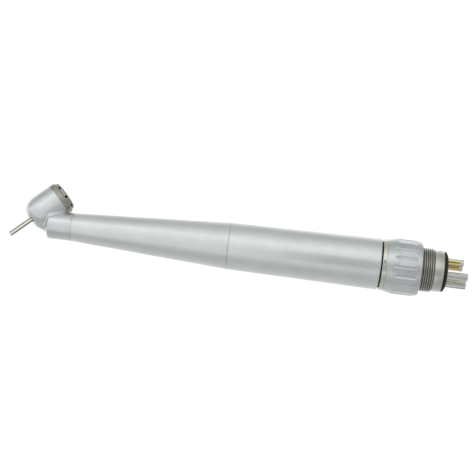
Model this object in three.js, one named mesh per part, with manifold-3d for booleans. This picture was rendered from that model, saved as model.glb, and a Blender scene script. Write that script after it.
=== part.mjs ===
// Dental high speed handpiece with a tilted surgical head, a push-button chuck and a quick coupler.
// Millimetres. The body axis is X, pointing out of the rear connector. +Z is the push-button side.
// The origin is the centre of the rear gasket face.
import * as THREE from 'three';
import { mergeGeometries, mergeVertices } from 'three/addons/utils/BufferGeometryUtils.js';
import ManifoldModule from 'manifold-3d';

const wasm = await ManifoldModule();
wasm.setup();

// ---- driving dimensions ----------------------------------------------------------------------
const HEAD_TILT = 45;                 // degrees between the head axis and the body axis
const HEAD_FOOT = [-145.41, 0, 1.08]; // centre of the head's bottom face
const CASTING_TOP = 11.4;             // along the head axis: end of the satin casting
const RING_TOP = 13.6;                // end of the steel cap ring
const HEAD_HEIGHT = 14.8;             // top of the push button
const PORTS = 8;                      // holes around the push button
const PORT_HEIGHT = 13.92;
const PORT_RISE = THREE.MathUtils.degToRad(20);
const PORT_PHASE = THREE.MathUtils.degToRad(27);
const CARTRIDGE_BORE = 4.9;
const CARTRIDGE_FLOOR = 2.9;

const PIN_R = 0.8;
const PIN_OUT = 9.0;                  // the pin stands this far out of the bottom face
const PIN_IN = 8.3;

const NECK_FRONT = -138.8;
const NECK_R = 4.88;
const NECK_SEAM = -130.51;
const MIDDLE_SEAM = -75.37;
const MIDDLE_R = 8.09;
const BARREL_END = -22.95;
const BARREL_END_R = 8.86;
const SEAM = 0.3;                     // width of the two joint lines
const SPIGOT_R = 4.0;
const MIDDLE_SPIGOT_R = 6.8;
const SOCKET_R = 7.3;

const COUPLER_TURN = 19.3;            // degrees: where the free-swivelling coupler stands
const FRONT_RING = [-22.5, -21.05];
const FRONT_RING_R = 8.82;
const SPANNER_BOWL = THREE.MathUtils.degToRad(175);  // round from +Y towards +Z, like the next one
const LOCATING_HOLE = THREE.MathUtils.degToRad(103);
const RELEASE_FRONT = -20.96;
const RELEASE_REAR = -9.09;
const FLUTES = 18;
const CORE_R = 7.0;
const THREAD_CREST = 7.6;
const THREAD_ROOT = 7.15;
const THREAD_PITCH = 0.72;
const COLLAR_FRONT = -4.63;
const GASKET_FRONT = -1.35;
const COLLAR_R = 7.06;
const NIPPLE_FRONT = -57;
const NIPPLE_R = 5.2;

const WHEEL_MID = 6.9;                // along the head axis
const FRONT_BEARING = 4.3;
const REAR_BEARING = 9.6;
const BEARING_WIDTH = 2.38;
const BALL_R = 0.45;
const BALL_CIRCLE = 2.39;
const BALLS = 7;

const DRIVE_WAY = [-1.2, 1.6];        // y and z of the air channels in the neck
const EXHAUST_WAY = [1.3, 1.5];

const COARSE = 18;
const MEDIUM = 24;
const FINE = 40;

// ---- solids ----------------------------------------------------------------------------------
const headMatrix = new THREE.Matrix4().makeRotationY(THREE.MathUtils.degToRad(90 - HEAD_TILT));
headMatrix.setPosition(...HEAD_FOOT);

function signedVolume(geometry) {
  const p = geometry.attributes.position;
  const index = geometry.index;
  const [a, b, c] = [new THREE.Vector3(), new THREE.Vector3(), new THREE.Vector3()];
  let sum = 0;
  for (let i = 0; i < index.count; i += 3) {
    a.fromBufferAttribute(p, index.getX(i));
    b.fromBufferAttribute(p, index.getX(i + 1));
    c.fromBufferAttribute(p, index.getX(i + 2));
    sum += a.dot(b.cross(c)) / 6;
  }
  return sum;
}

function solid(geometry) {
  const bare = new THREE.BufferGeometry();
  bare.setAttribute('position', geometry.attributes.position.clone());
  if (geometry.index) bare.setIndex(geometry.index.clone());
  const g = mergeVertices(bare, 1e-4);
  const index = [];
  for (let i = 0; i < g.index.count; i += 3) {
    const t = [g.index.getX(i), g.index.getX(i + 1), g.index.getX(i + 2)];
    if (t[0] !== t[1] && t[1] !== t[2] && t[2] !== t[0]) index.push(t);
  }
  g.setIndex(index.flat());
  const order = signedVolume(g) < 0 ? [0, 2, 1] : [0, 1, 2];
  const triVerts = new Uint32Array(index.flatMap((t) => order.map((k) => t[k])));
  const vertProperties = new Float32Array(g.attributes.position.array);
  return new wasm.Manifold(new wasm.Mesh({ numProp: 3, vertProperties, triVerts }));
}

function toGeometry(body) {
  const mesh = body.getMesh();
  const g = new THREE.BufferGeometry();
  g.setAttribute('position', new THREE.BufferAttribute(new Float32Array(mesh.vertProperties), 3));
  g.setIndex(new THREE.BufferAttribute(new Uint32Array(mesh.triVerts), 1));
  const flat = g.toNonIndexed();
  flat.computeVertexNormals();
  return flat;
}

const union = (...bodies) => bodies.reduce((a, b) => wasm.Manifold.union(a, b));
const cut = (body, ...tools) => tools.reduce((a, b) => wasm.Manifold.difference(a, b), body);
const common = (a, b) => wasm.Manifold.intersection(a, b);

// A body turned about the X axis from [x, radius] pairs. A profile that stays off the axis is a ring.
function turned(profile, segments = MEDIUM) {
  const points = profile.map(([x, r]) => new THREE.Vector2(r, x));
  const first = points[0];
  const last = points[points.length - 1];
  if (first.x > 0 || last.x > 0) points.push(first.clone());
  return new THREE.LatheGeometry(points, segments).rotateZ(-Math.PI / 2);
}

// The same about the head axis, from [height, radius] pairs, placed in the body frame.
function headTurned(profile, segments = MEDIUM) {
  return turned(profile, segments).rotateY(-Math.PI / 2).applyMatrix4(headMatrix);
}

const inHead = (geometry) => geometry.applyMatrix4(headMatrix);

// A rod along X from x0 to x1 at (y, z).
function rodX(r, x0, x1, y = 0, z = 0, segments = 12) {
  const g = new THREE.CylinderGeometry(r, r, x1 - x0, segments).rotateZ(-Math.PI / 2);
  return g.translate((x0 + x1) / 2, y, z);
}

// A rod between two points.
function rodBetween(r, from, to, segments = 10) {
  const a = new THREE.Vector3(...from);
  const b = new THREE.Vector3(...to);
  const g = new THREE.CylinderGeometry(r, r, a.distanceTo(b), segments);
  const way = b.clone().sub(a).normalize();
  g.applyQuaternion(new THREE.Quaternion().setFromUnitVectors(new THREE.Vector3(0, 1, 0), way));
  return g.translate((a.x + b.x) / 2, (a.y + b.y) / 2, (a.z + b.z) / 2);
}

// A rod that points out from the X axis at an angle, from radius r0 to r1.
function spokeX(r, x, r0, r1, angle, segments = 10) {
  const g = new THREE.CylinderGeometry(r, r, r1 - r0, segments).translate(0, (r0 + r1) / 2, 0);
  return g.rotateX(angle).translate(x, 0, 0);
}

// An open pipe along a curve.
function pipe(points, outer, inner, steps, sides = 10) {
  const curve = new THREE.CatmullRomCurve3(points.map((p) => new THREE.Vector3(...p)));
  const ring = new THREE.Shape().absarc(0, 0, outer, 0, 2 * Math.PI);
  ring.holes.push(new THREE.Path().absarc(0, 0, inner, 0, 2 * Math.PI, true));
  return new THREE.ExtrudeGeometry(ring, { steps, curveSegments: sides, extrudePath: curve });
}

// A coil along +Y from y0 to y1, ends cut square.
function coil(radius, wire, y0, y1, turns, stepsPerTurn, sides) {
  class Helix extends THREE.Curve {
    getPoint(t, target = new THREE.Vector3()) {
      const a = 2 * Math.PI * turns * t;
      return target.set(radius * Math.cos(a), y0 + (y1 - y0) * t, radius * Math.sin(a));
    }
  }
  const section = new THREE.Shape().absarc(0, 0, wire, 0, 2 * Math.PI);
  const options = { steps: turns * stepsPerTurn, curveSegments: sides, extrudePath: new Helix() };
  return new THREE.ExtrudeGeometry(section, options);
}

function torusX(radius, minor, x, segments = COARSE, sides = 6) {
  const g = new THREE.TorusGeometry(radius, minor, sides, segments);
  return g.rotateY(Math.PI / 2).translate(x, 0, 0);
}

// ---- materials -------------------------------------------------------------------------------
const finish = (color, roughness, metalness) => ({ color, roughness, metalness });
const SATIN = finish(0xc9cccd, 0.42, 1);
const STEEL = finish(0xb3b1a6, 0.28, 1);
const POLISHED = finish(0xd6d4cc, 0.15, 1);
const THREAD_STEEL = finish(0x8d877b, 0.35, 1);
const CHAMPAGNE = finish(0xc8bf9c, 0.25, 1);
const RUBBER = finish(0x161616, 0.75, 0);
const GOLD = finish(0xc9a24c, 0.22, 1);
const RACE = finish(0xa9adb2, 0.2, 1);
const CERAMIC = finish(0xe9e7de, 0.2, 0);
const TURBINE = finish(0x9fb0bb, 0.3, 1);
const POLYMER = finish(0xcfc6a8, 0.5, 0);

const handpiece = new THREE.Group();
handpiece.name = 'dental_high_speed_handpiece';

// The coupler and everything on it, which swivels about the body axis.
const coupler = new THREE.Group();
coupler.rotation.x = THREE.MathUtils.degToRad(COUPLER_TURN);
handpiece.add(coupler);

function add(name, shape, look, group = handpiece) {
  const geometry = shape.isBufferGeometry ? toGeometry(solid(shape)) : toGeometry(shape);
  const mesh = new THREE.Mesh(geometry, new THREE.MeshStandardMaterial(look));
  mesh.name = name;
  group.add(mesh);
}

const addToCoupler = (name, shape, look) => add(name, shape, look, coupler);

// ---- head ------------------------------------------------------------------------------------
const headShell = solid(headTurned([
  [0, 0], [0, 3.6], [0.7, 4.35], [1.4, 4.9], [2.2, 5.35], [3.2, 5.7], [4.6, 5.9], [8, 5.95],
  [CASTING_TOP - 0.12, 5.93], [CASTING_TOP, 5.83], [CASTING_TOP, 0],
], FINE));
// The neck, with the slim web in front of it that carries the head.
const neckStub = solid(turned([
  [-143.4, 0], [-143.4, 1.15], [-139.7, 2.8], [NECK_FRONT - 0.05, 4.55], [NECK_FRONT + 0.35, NECK_R],
  [NECK_SEAM - SEAM / 2, NECK_R], [NECK_SEAM - SEAM / 2, SPIGOT_R], [-124.5, SPIGOT_R], [-124.5, 0],
], FINE));
// The neck's top is cleared where the button ring stands over it.
const ringClearance = solid(headTurned(
  [[CASTING_TOP, 0], [CASTING_TOP, 6.15], [HEAD_HEIGHT + 1, 6.15], [HEAD_HEIGHT + 1, 0]], FINE));
const headBores = [
  solid(headTurned([[CARTRIDGE_FLOOR, 0], [CARTRIDGE_FLOOR, CARTRIDGE_BORE],
    [CASTING_TOP + 1, CARTRIDGE_BORE], [CASTING_TOP + 1, 0]], FINE)),
  solid(headTurned([[-1, 0], [-1, 2.4], [CARTRIDGE_FLOOR + 0.2, 2.4], [CARTRIDGE_FLOOR + 0.2, 0]],
    COARSE)),
  solid(rodX(3.0, -134, -124, 0, 0, COARSE)),
  solid(rodX(0.9, -140, -133.5, DRIVE_WAY[0], DRIVE_WAY[1])),
  solid(rodX(0.9, -140, -133.5, EXHAUST_WAY[0], EXHAUST_WAY[1])),
  solid(rodBetween(0.35, [-133.6, 0, -2.9], [-143.4, 0, -0.24], 8)),
];
add('head_housing', cut(union(headShell, neckStub), ringClearance, ...headBores), SATIN);

add('head_cap_ring', headTurned([
  [CASTING_TOP + 0.05, 5.75], [CASTING_TOP + 0.2, 5.87], [13.2, 5.87], [13.5, 5.78],
  [RING_TOP, 5.6], [RING_TOP, 5.34], [12.0, 5.34], [12.0, 3.6], [11.35, 3.6], [11.35, 4.8],
  [CASTING_TOP + 0.05, 4.8],
], FINE), STEEL);

const buttonCup = solid(headTurned([
  [13.05, 0], [13.05, 1.1], [13.95, 1.3], [13.95, 4.45], [12.75, 4.45], [12.75, 5.17], [14.35, 5.17],
  [14.62, 5.0], [HEAD_HEIGHT, 4.7], [HEAD_HEIGHT, 0],
], FINE));
const buttonPorts = Array.from({ length: PORTS }, (_, k) => {
  const port = new THREE.CylinderGeometry(0.46, 0.46, 1.2, 10).rotateZ(Math.PI / 2);
  port.rotateY(-PORT_RISE).translate(5.2, 0, PORT_HEIGHT);
  port.rotateZ(-Math.PI / 2 + PORT_PHASE + (2 * Math.PI * k) / PORTS);
  return solid(inHead(port));
});
add('push_button', cut(buttonCup, ...buttonPorts), STEEL);
add('button_spring', inHead(coil(4.0, 0.16, 12.25, 13.7, 3, 14, 3).rotateX(Math.PI / 2)),
  RACE);

const cartridgePorts = [
  solid(rodX(0.8, -140.8, -133.5, DRIVE_WAY[0], DRIVE_WAY[1])),
  solid(rodX(0.8, -140.8, -133.5, EXHAUST_WAY[0], EXHAUST_WAY[1])),
];
add('cartridge_sleeve', cut(solid(headTurned(
  [[2.97, 3.5], [2.97, 4.78], [10.95, 4.78], [10.95, 4.3], [3.3, 4.3], [3.3, 3.5]], MEDIUM)),
...cartridgePorts), RACE);
const sprayHoles = [0, 1, 2].map((k) => {
  const a = (2 * Math.PI * k) / 3 + Math.PI / 3;
  const hole = new THREE.CylinderGeometry(0.17, 0.17, 5, 8).rotateX(Math.PI / 2);
  return solid(inHead(hole.translate(2.02 * Math.cos(a), 2.02 * Math.sin(a), 1)));
});
add('nozzle_insert', cut(solid(headTurned(
  [[0.08, 1.75], [0.08, 2.3], [2.3, 2.3], [2.3, 1.75]], COARSE)), ...sprayHoles), THREAD_STEEL);
add('wave_washer', inHead(wave(turned([[11.06, 3.7], [11.06, 4.6], [11.2, 4.6], [11.2, 3.7]], MEDIUM)
  .rotateY(-Math.PI / 2))), RACE);

// Lifts and lowers a flat ring three times around.
function wave(geometry) {
  const p = geometry.attributes.position;
  for (let i = 0; i < p.count; i += 1) {
    const a = Math.atan2(p.getY(i), p.getX(i));
    p.setZ(i, p.getZ(i) + 0.07 * Math.cos(3 * a));
  }
  return geometry;
}

// ---- turbine ---------------------------------------------------------------------------------
const half = BEARING_WIDTH / 2;
const groove = 0.42;
for (const [name, at] of [['front', FRONT_BEARING], ['rear', REAR_BEARING]]) {
  add(`${name}_bearing_outer_ring`, headTurned([
    [at - half, 2.72], [at - half, 3.175], [at + half, 3.175], [at + half, 2.72], [at + groove, 2.72],
    [at, 2.96], [at - groove, 2.72],
  ], COARSE), RACE);
  add(`${name}_bearing_inner_ring`, headTurned([
    [at - half, 1.6], [at - half, 2.02], [at - groove, 2.02], [at, 1.8], [at + groove, 2.02],
    [at + half, 2.02], [at + half, 1.6],
  ], COARSE), RACE);
  const cage = solid(headTurned(
    [[at + 0.28, 2.22], [at + 0.28, 2.56], [at + 0.85, 2.56], [at + 0.85, 2.22]], COARSE));
  const balls = Array.from({ length: BALLS }, (_, k) => {
    const a = (2 * Math.PI * k) / BALLS;
    const ball = new THREE.SphereGeometry(BALL_R, 8, 5);
    return solid(inHead(ball.translate(BALL_CIRCLE * Math.cos(a), BALL_CIRCLE * Math.sin(a), at)));
  });
  add(`${name}_ball_cage`, union(cage, ...balls), CERAMIC);
  add(`${name}_bearing_o_ring`, inHead(torusX(3.72, 0.44, at, COARSE, 5).rotateY(-Math.PI / 2)),
    RUBBER);
}

add('rotor_spindle', headTurned([
  [0.6, 1.2], [0.6, 1.52], [11.9, 1.52], [11.9, 1.2],
], COARSE), STEEL);

const hub = solid(headTurned([
  [WHEEL_MID - 1.3, 1.58], [WHEEL_MID - 1.3, 2.2], [WHEEL_MID - 0.9, 2.5], [WHEEL_MID + 0.9, 2.5],
  [WHEEL_MID + 1.3, 2.2], [WHEEL_MID + 1.3, 1.58],
], COARSE));
const bladeShape = new THREE.Shape();
bladeShape.moveTo(2.3, -0.35);
bladeShape.quadraticCurveTo(3.3, -0.3, 3.9, 0.45);
bladeShape.lineTo(3.75, 0.6);
bladeShape.quadraticCurveTo(3.1, 0.05, 2.3, 0.1);
bladeShape.closePath();
const blades = Array.from({ length: 10 }, (_, k) => {
  const options = { depth: 2.2, bevelEnabled: false, curveSegments: 3 };
  const blade = new THREE.ExtrudeGeometry(bladeShape, options).translate(0, 0, WHEEL_MID - 1.1);
  return solid(inHead(blade.rotateZ((2 * Math.PI * k) / 10)));
});
add('turbine_wheel', union(hub, ...blades), TURBINE);

const chuckBlank = solid(headTurned([
  [0.8, 0.87], [0.8, 1.08], [8.5, 1.08], [8.5, 0.87],
], COARSE));
const slits = [0, 1, 2].map((k) => {
  const slit = new THREE.BoxGeometry(0.8, 0.12, 5).translate(1.0, 0, 8.7);
  return solid(inHead(slit.rotateZ((2 * Math.PI * k) / 3 + 0.1)));
});
add('chuck_collet', cut(chuckBlank, ...slits), POLISHED);
add('chuck_pusher', headTurned([
  [9.3, 0], [9.3, 0.7], [9.8, 1.05], [12.35, 1.05], [12.4, 1.4], [12.75, 1.4], [12.75, 0],
], COARSE), STEEL);
add('test_pin', headTurned([
  [-PIN_OUT, 0], [-PIN_OUT, PIN_R - 0.15], [-PIN_OUT + 0.15, PIN_R], [PIN_IN - 0.15, PIN_R],
  [PIN_IN, PIN_R - 0.15], [PIN_IN, 0],
], COARSE), POLISHED);

// ---- body ------------------------------------------------------------------------------------
const seamFace = (x, side) => x + (side * SEAM) / 2;
add('neck_joint_ring', turned([
  [NECK_SEAM - 0.12, 4.12], [NECK_SEAM - 0.12, 4.66], [NECK_SEAM + 0.12, 4.66],
  [NECK_SEAM + 0.12, 4.12],
], MEDIUM), THREAD_STEEL);
add('front_sleeve', turned([
  [seamFace(NECK_SEAM, 1), 4.12], [seamFace(NECK_SEAM, 1), 4.78],
  [seamFace(NECK_SEAM, 1) + 0.12, NECK_R + 0.02], [seamFace(MIDDLE_SEAM, -1) - 0.12, MIDDLE_R - 0.02],
  [seamFace(MIDDLE_SEAM, -1), MIDDLE_R - 0.14], [seamFace(MIDDLE_SEAM, -1), 6.92], [-86, 6.92],
  [-87, 6.4], [-124, 4.12],
], FINE), SATIN);
add('middle_joint_ring', turned([
  [MIDDLE_SEAM - 0.12, 6.95], [MIDDLE_SEAM - 0.12, 7.82], [MIDDLE_SEAM + 0.12, 7.82],
  [MIDDLE_SEAM + 0.12, 6.95],
], MEDIUM), THREAD_STEEL);
add('rear_sleeve', turned([
  [-84, 6.0], [-84, MIDDLE_SPIGOT_R], [seamFace(MIDDLE_SEAM, 1), MIDDLE_SPIGOT_R],
  [seamFace(MIDDLE_SEAM, 1), MIDDLE_R - 0.12], [seamFace(MIDDLE_SEAM, 1) + 0.12, MIDDLE_R],
  [BARREL_END - 0.3, BARREL_END_R], [BARREL_END, BARREL_END_R - 0.22], [BARREL_END, 7.42],
  [-62, 7.42], [-62, 6.0],
], FINE), SATIN);

const PIPES = [
  ['drive_air_pipe', 0.8, 0.55, [-136.2, ...DRIVE_WAY], [-59.5, -2.3, 1.6]],
  ['water_pipe', 0.55, 0.3, [-133.2, 0.9, -1.9], [-59.5, 1.8, -2.6]],
  ['chip_air_pipe', 0.55, 0.3, [-133.2, -0.9, -1.9], [-59.5, -1.9, -2.4]],
];
for (const [name, outer, inner, from, to] of PIPES) {
  const bend = [[from[0] + 12, from[1], from[2]], [to[0] - 8, to[1], to[2]]];
  add(name, pipe([from, ...bend, to], outer, inner, 7, 4), name === 'water_pipe' ? GOLD : RACE);
}
add('non_return_valve', rotatedTube(0.72, 1.3, -66, -62.6, 1.8, -2.6), RUBBER);

// A short tube along X at (y, z).
function rotatedTube(inner, outer, x0, x1, y, z, segments = 16) {
  return turned([[x0, inner], [x0, outer], [x1, outer], [x1, inner]], segments).translate(0, y, z);
}

const socketBlank = solid(turned([
  [-61.5, 0], [-61.5, SOCKET_R - 0.4], [-61.1, SOCKET_R], [-31, SOCKET_R], [-31, 5.62],
  [-57.6, 5.62], [-57.6, 0],
], MEDIUM));
const socketHoles = PIPES.map(([, outer, , , to]) => solid(rodX(outer + 0.12, -63, -57, to[1], to[2])));
const socketExhaust = solid(rodX(1.4, -63, -57, 2.2, 2.0, 12));
add('coupling_socket', cut(socketBlank, ...socketHoles, socketExhaust), RACE);
const clip = solid(turned([[-23.95, 6.5], [-23.95, 7.32], [-23.6, 7.32], [-23.6, 6.5]], MEDIUM));
const clipGap = solid(new THREE.BoxGeometry(2, 2.4, 3).translate(-23.8, 0, -7));
add('race_circlip', cut(clip, clipGap), STEEL);
add('lock_race', turned([
  [-30.6, 6.05], [-30.6, 7.1], [-24.3, 7.1], [-24.3, 6.25], [-24.6, 6.05], [-26.2, 6.05],
  [-27, 6.5], [-27.8, 6.05],
], MEDIUM), RACE);

// ---- coupler ---------------------------------------------------------------------------------
const TUBES = [
  ['water_connector_tube', 1.15, 0.78, 5.65, -0.9, 3.76, GOLD],
  ['chip_air_connector_tube', 1.15, 0.78, 5.65, 0.75, 2.0, GOLD],
  ['drive_air_connector_tube', 1.36, 0.98, 7.4, -1.9, -1.0, POLISHED],
  ['exhaust_connector_tube', 1.45, 1.1, 7.4, 0.85, -3.72, POLISHED],
];
const TUBE_SIDES = 16;
for (const [name, outer, inner, end, y, z, look] of TUBES) {
  const lip = 0.12;
  addToCoupler(name, turned([
    [-8, inner], [-8, outer], [end - lip, outer], [end, outer - lip], [end, inner],
  ], TUBE_SIDES).translate(0, y, z), look);
}

const ringGrooves = [-53, -47, -41];
const nippleBlank = solid(turned([
  [NIPPLE_FRONT, 0], [NIPPLE_FRONT, NIPPLE_R - 0.5], [NIPPLE_FRONT + 0.6, NIPPLE_R],
  ...ringGrooves.flatMap((x) => [
    [x - 0.5, NIPPLE_R], [x - 0.5, 4.62], [x + 0.5, 4.62], [x + 0.5, NIPPLE_R]]),
  [-30.8, NIPPLE_R], [-30.3, 5.6], [-20.9, 5.6], [-20.9, 4.5], [-12.2, 4.5], [-12.2, 0],
], MEDIUM));
const lockAngles = [0, 1, 2].map((k) => (2 * Math.PI * k) / 3);
const waterBore = [-0.9, 3.3];
const chipAirBore = [0.75, 2.0];
const nippleBores = [
  solid(rodX(1.3, -58, -11, -1.9, -1.0)),
  solid(rodX(1.3, -58, -11, 1.3, -2.3)),
  solid(rodX(0.7, -50.5, -11, ...waterBore)),
  solid(rodX(0.7, -44.5, -11, ...chipAirBore)),
  solid(rodBetween(0.45, [-50, ...waterBore], [-50, waterBore[0], 6])),
  solid(rodBetween(0.45, [-44, ...chipAirBore], [-44, chipAirBore[0], 6])),
  ...lockAngles.map((a) => solid(spokeX(0.8, -27, 4.5, 6, a))),
];
addToCoupler('coupler_nipple', cut(nippleBlank, ...nippleBores), STEEL);
ringGrooves.forEach((x, k) => {
  addToCoupler(`nipple_o_ring_${k + 1}`, torusX(5.07, 0.35, x, MEDIUM, 5), RUBBER);
});
lockAngles.forEach((a, k) => {
  const ball = new THREE.SphereGeometry(0.6, 8, 6).translate(0, 5.18, 0);
  addToCoupler(`lock_ball_${k + 1}`, ball.rotateX(a).translate(-27, 0, 0), RACE);
});

addToCoupler('coupler_seal', turned([
  [-22.87, 5.72], [-22.87, 7.95], [-22.8, 8.05], [-22.65, 8.05], [-22.58, 7.95], [-22.58, 5.72],
], MEDIUM), RUBBER);
const frontRing = solid(turned([
  [FRONT_RING[0], 5.72], [FRONT_RING[0], FRONT_RING_R - 0.15], [FRONT_RING[0] + 0.15, FRONT_RING_R],
  [FRONT_RING[1] - 0.12, FRONT_RING_R], [FRONT_RING[1], FRONT_RING_R - 0.12], [FRONT_RING[1], 5.72],
], FINE));
// A shallow bowl for a pin spanner.
const bowl = new THREE.SphereGeometry(1, 14, 8).scale(0.42, 0.3, 1.0).translate(0, FRONT_RING_R + 0.03, 0);
bowl.rotateX(SPANNER_BOWL).translate((FRONT_RING[0] + FRONT_RING[1]) / 2, 0, 0);
addToCoupler('coupler_front_ring', cut(frontRing, solid(bowl)), CHAMPAGNE);

// The external thread: a turned saw-tooth whose points move on by one pitch in a full turn. The two
// half-plane faces at its ends close it.
function threadedRod(from, turns) {
  const tooth = [[0, THREAD_ROOT], [0.36, THREAD_CREST]];
  const profile = [[from, 0]];
  for (let k = 0; k < turns; k += 1) {
    profile.push(...tooth.map(([x, r]) => [from + (k + x / THREAD_PITCH) * THREAD_PITCH, r]));
  }
  profile.push([from + turns * THREAD_PITCH, THREAD_ROOT], [from + turns * THREAD_PITCH, 0]);
  const columns = 30;
  const rod = turned(profile, columns);
  const p = rod.attributes.position;
  for (let i = 0; i < p.count; i += 1) {
    const column = Math.floor(i / profile.length);
    const onAxis = i % profile.length === 0 || i % profile.length === profile.length - 1;
    if (!onAxis) p.setX(i, p.getX(i) + (THREAD_PITCH * column) / columns);
  }
  const outline = [[from, 0], ...tooth.map(([x, r]) => [from + x, r]), [from + THREAD_PITCH, THREAD_ROOT]];
  const face = new THREE.ShapeGeometry(new THREE.Shape(outline.map((q) => new THREE.Vector2(...q))));
  const rear = face.clone().rotateX(Math.PI / 2).translate(turns * THREAD_PITCH, 0, 0);
  const front = face.clone().rotateX(Math.PI / 2);
  front.setIndex(Array.from(front.index.array).reverse());
  return mergeGeometries([rod, front, rear]);
}
const threadEnvelope = solid(turned([
  [-9.1, 0], [-9.1, THREAD_ROOT - 0.05], [-8.7, THREAD_CREST + 0.12], [-5.2, THREAD_CREST + 0.12],
  [COLLAR_FRONT, COLLAR_R - 0.1], [COLLAR_FRONT, 0],
], FINE));
const thread = common(solid(threadedRod(-9.9, 8)), threadEnvelope);
const coreBlank = solid(turned([
  [-20.9, 4.65], [-20.9, CORE_R], [-16.9, CORE_R], [-16.9, 6.65], [COLLAR_FRONT - 0.02, 6.65],
  [COLLAR_FRONT - 0.02, COLLAR_R - 0.1], [COLLAR_FRONT + 0.1, COLLAR_R], [GASKET_FRONT - 0.15, COLLAR_R],
  [GASKET_FRONT, COLLAR_R - 0.15], [GASKET_FRONT, 0], [-12, 0], [-12, 4.65],
], FINE));
const tubeSeats = TUBES.map(([, outer, , , y, z]) => solid(rodX(outer + 0.08, -8.1, -1, y, z, TUBE_SIDES)));
const tubeWays = TUBES.map(([, , inner, , y, z]) => solid(rodX(inner, -13, -7, y, z, 8)));
const locatingHole = solid(spokeX(0.45, -2.85, COLLAR_R - 0.8, COLLAR_R + 0.4, LOCATING_HOLE));
addToCoupler('coupler_body',
  cut(union(coreBlank, thread), ...tubeSeats, ...tubeWays, locatingHole), THREAD_STEEL);
const gasketBlank = solid(turned([
  [GASKET_FRONT + 0.05, 0], [GASKET_FRONT + 0.05, 6.87], [-0.55, 6.87], [-0.1, 6.1], [0, 5.9], [0, 0],
], FINE));
const gasketHoles = TUBES.map(([, outer, , , y, z]) => solid(rodX(outer + 0.08, -3, 1, y, z, TUBE_SIDES)));
addToCoupler('hose_gasket', cut(gasketBlank, ...gasketHoles), RUBBER);

// The release ring is turned in three columns to a flute: one down the groove and one each side of it,
// so that the lands between the grooves are flats.
const RING_PROFILE = [
  [RELEASE_FRONT, 7.25], [RELEASE_FRONT, 8.86], [RELEASE_FRONT + 0.12, 8.96], [-18.8, 9.42],
  [-17.2, 9.65], [-16.2, 9.7], [-12.6, 9.66], [-11.5, 9.57], [-10.8, 9.48], [-10.2, 9.4],
  [RELEASE_REAR - 0.12, 9.14], [RELEASE_REAR, 9.0], [RELEASE_REAR, 8.45], [-16.9, 8.45], [-16.9, 7.25],
];
const FLUTE_DEPTH = 0.3;
const FLUTE_ROWS = [4, 7];            // the profile points between which a groove has its full depth
const FLUTE_HALF_ANGLE = 3.4;
function flutedRing() {
  const columns = FLUTES * 3;
  const ring = turned(RING_PROFILE, columns);
  const p = ring.attributes.position;
  const points = RING_PROFILE.length + 1;
  for (let i = 0; i < p.count; i += 1) {
    const column = Math.floor(i / points);
    const place = ((column % 3) + 3) % 3;
    const flute = 360 / FLUTES;
    const turn = [0, FLUTE_HALF_ANGLE, flute - FLUTE_HALF_ANGLE][place] + flute * Math.floor(column / 3);
    const row = i % points;
    const depth = place === 0 && row >= FLUTE_ROWS[0] && row <= FLUTE_ROWS[1] ? FLUTE_DEPTH : 0;
    const r = Math.hypot(p.getY(i), p.getZ(i)) - depth;
    const a = THREE.MathUtils.degToRad(turn + flute / 2);
    p.setXYZ(i, p.getX(i), -r * Math.sin(a), r * Math.cos(a));
  }
  return ring;
}
addToCoupler('release_ring', flutedRing(), SATIN);
addToCoupler('release_spring', coil(7.5, 0.32, -16.4, -10.6, 4, 14, 3).rotateZ(-Math.PI / 2), RACE);
addToCoupler('release_stop_ring', turned([
  [-10.1, 6.75], [-10.1, 8.32], [-9.4, 8.32], [-9.4, 6.75],
], MEDIUM), STEEL);

export default handpiece;
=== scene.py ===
"""Dental high speed handpiece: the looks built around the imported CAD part.

Lengths are in millimetres while a mesh is drawn and are scaled to metres when it is placed. The body
axis is X, pointing out of the rear connector, and +Z is the push-button side.
"""
import math

import bmesh
import bpy
import numpy as np
from mathutils import Matrix, Vector


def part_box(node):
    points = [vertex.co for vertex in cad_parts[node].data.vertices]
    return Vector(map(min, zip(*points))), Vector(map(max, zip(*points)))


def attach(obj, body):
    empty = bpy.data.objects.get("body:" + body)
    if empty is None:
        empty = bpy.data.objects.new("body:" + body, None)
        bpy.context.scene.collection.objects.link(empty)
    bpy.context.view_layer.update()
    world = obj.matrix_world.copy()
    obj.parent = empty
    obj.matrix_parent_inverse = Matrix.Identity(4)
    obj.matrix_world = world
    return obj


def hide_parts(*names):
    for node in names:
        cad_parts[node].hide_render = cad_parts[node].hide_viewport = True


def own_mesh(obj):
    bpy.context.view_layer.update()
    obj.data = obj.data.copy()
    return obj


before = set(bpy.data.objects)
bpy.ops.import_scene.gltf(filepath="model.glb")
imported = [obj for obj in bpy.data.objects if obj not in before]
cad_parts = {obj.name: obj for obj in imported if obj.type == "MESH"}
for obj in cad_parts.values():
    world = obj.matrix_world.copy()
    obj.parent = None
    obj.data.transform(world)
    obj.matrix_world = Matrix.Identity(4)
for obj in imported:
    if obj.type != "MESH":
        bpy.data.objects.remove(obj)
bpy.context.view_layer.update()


# ---- dimensions, mm ---------------------------------------------------------------------------
def span(node, axis=0):
    """Where a CAD node starts and ends along X, or along another axis of the frame, mm."""
    low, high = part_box(node)
    return round(low[axis] * 1000, 2), round(high[axis] * 1000, 2)


def middle_of(node):
    """The middle of a CAD node along X."""
    return round(sum(span(node)) / 2, 2)


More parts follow.
